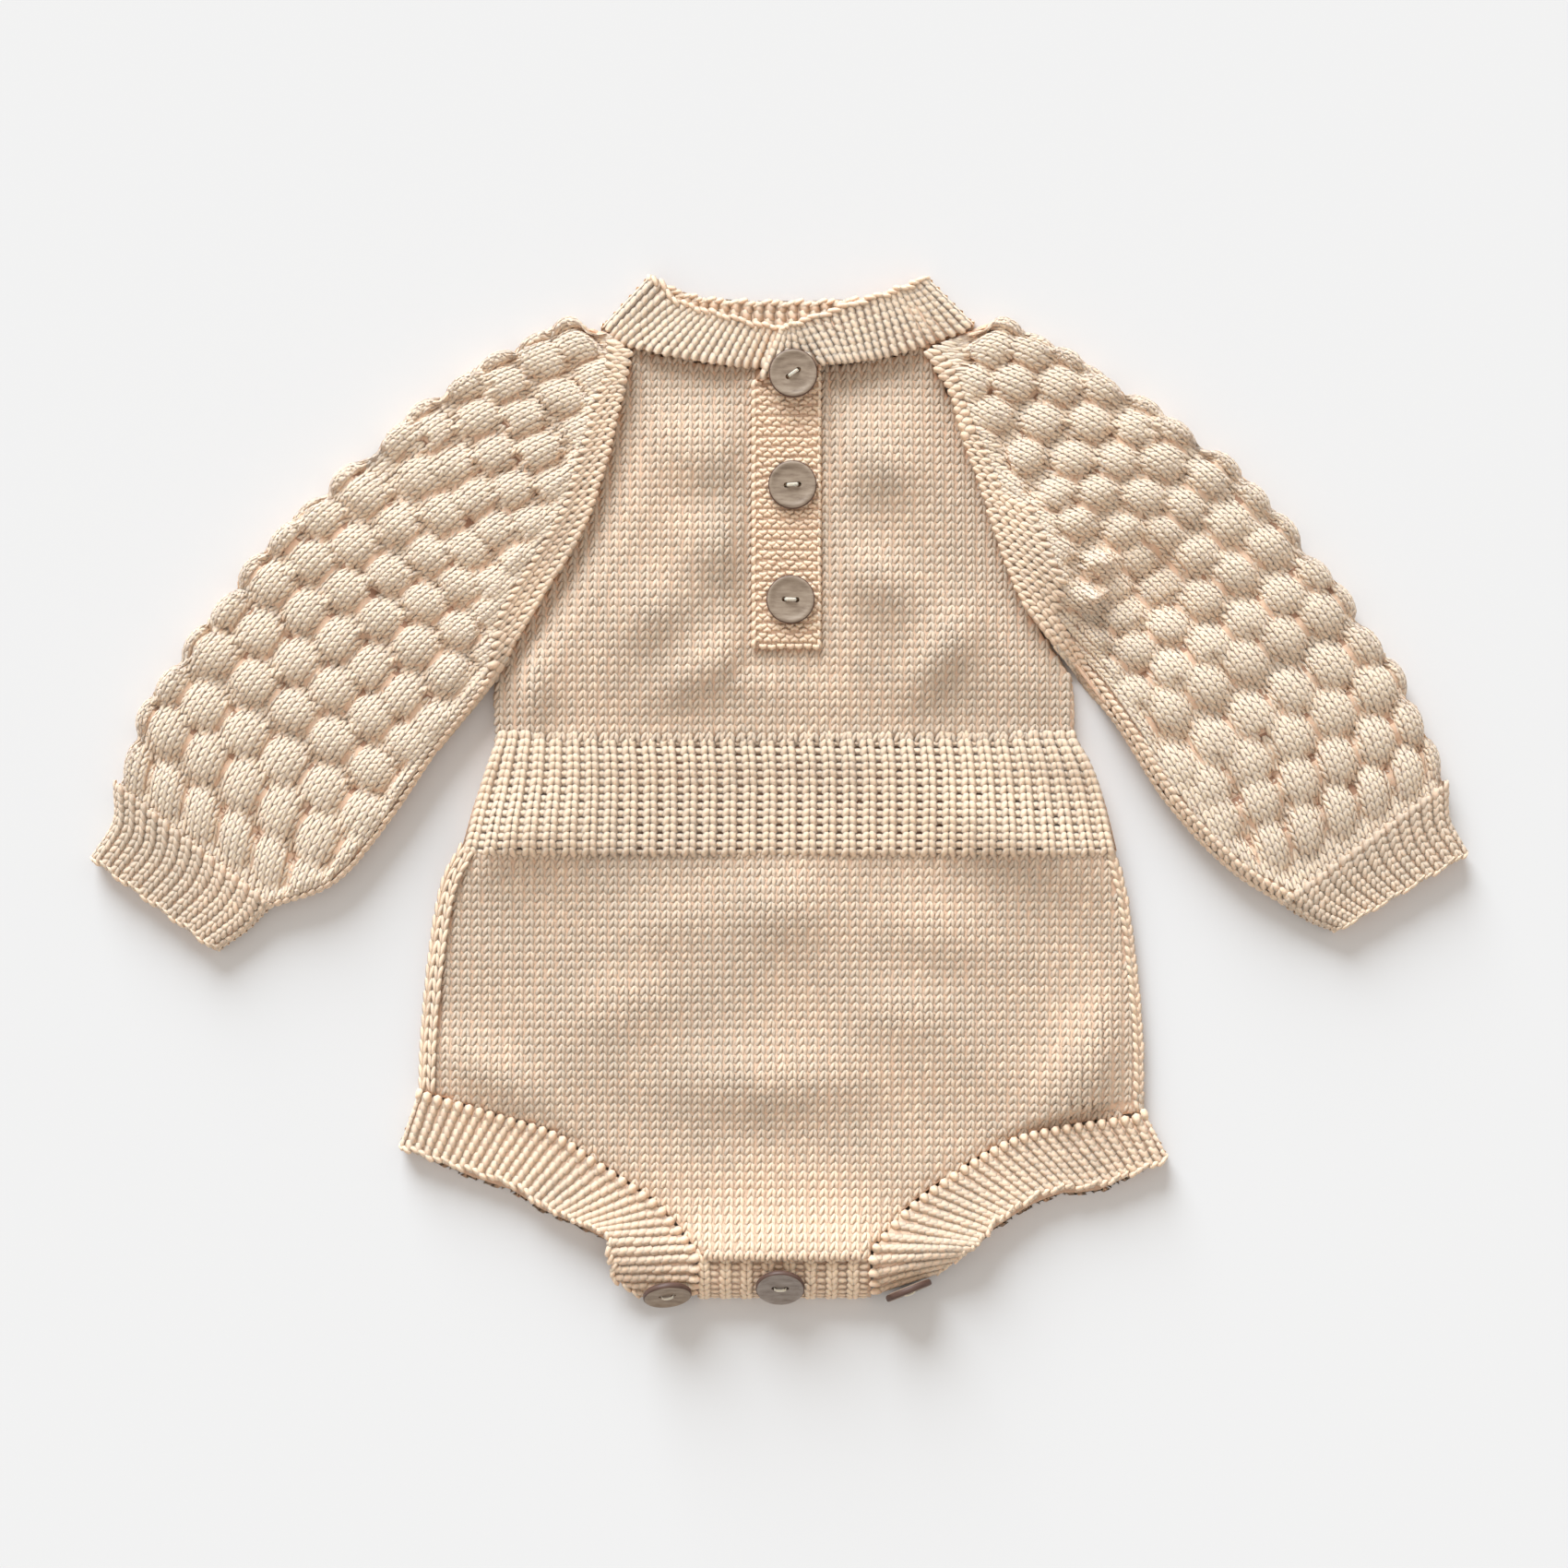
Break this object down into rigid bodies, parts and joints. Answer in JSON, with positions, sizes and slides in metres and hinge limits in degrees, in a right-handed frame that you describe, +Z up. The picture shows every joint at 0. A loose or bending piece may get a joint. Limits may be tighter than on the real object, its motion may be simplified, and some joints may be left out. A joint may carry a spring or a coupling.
{
  "type": "baby romper",
  "caption": "Long-sleeved hand-knitted baby romper lying flat on its back, with bubble-stitch raglan sleeves, ribbed waist and edges, a buttoned neck placket and a buttoned crotch.",
  "frame": {"origin": "middle of the underside that it lies on, at the centre of its outline", "axes": "+Z up from the surface it lies on, out of its front; +Y towards the neck; +X towards the right sleeve as seen from the front"},
  "size_m": [0.5072, 0.3804, 0.0207],
  "materials": {
    "stockinette": "matte knitted cotton, undyed",
    "rib": "matte knitted cotton, undyed",
    "bubble_stitch": "matte knitted cotton, undyed",
    "garter": "matte knitted cotton, undyed",
    "coconut_shell": "satin, turned and rubbed"
  },
  "bodies": {
    "root": {"back_lower_body": "stockinette", "back_waist_rib": "rib", "back_bodice": "stockinette", "front_lower_body": "stockinette", "front_waist_rib": "rib", "front_bodice": "stockinette", "neckband": "rib", "button_band": "garter", "buttonhole_band": "garter", "left_sleeve": "bubble_stitch", "right_sleeve": "bubble_stitch", "left_cuff": "rib", "right_cuff": "rib", "left_leg_band": "rib", "right_leg_band": "rib", "front_crotch_band": "rib", "back_crotch_band": "rib", "neck_button_1": "coconut_shell", "neck_button_2": "coconut_shell", "neck_button_3": "coconut_shell", "left_crotch_button": "coconut_shell", "middle_crotch_button": "coconut_shell", "right_crotch_button": "coconut_shell"}
  },
  "joints": []
}
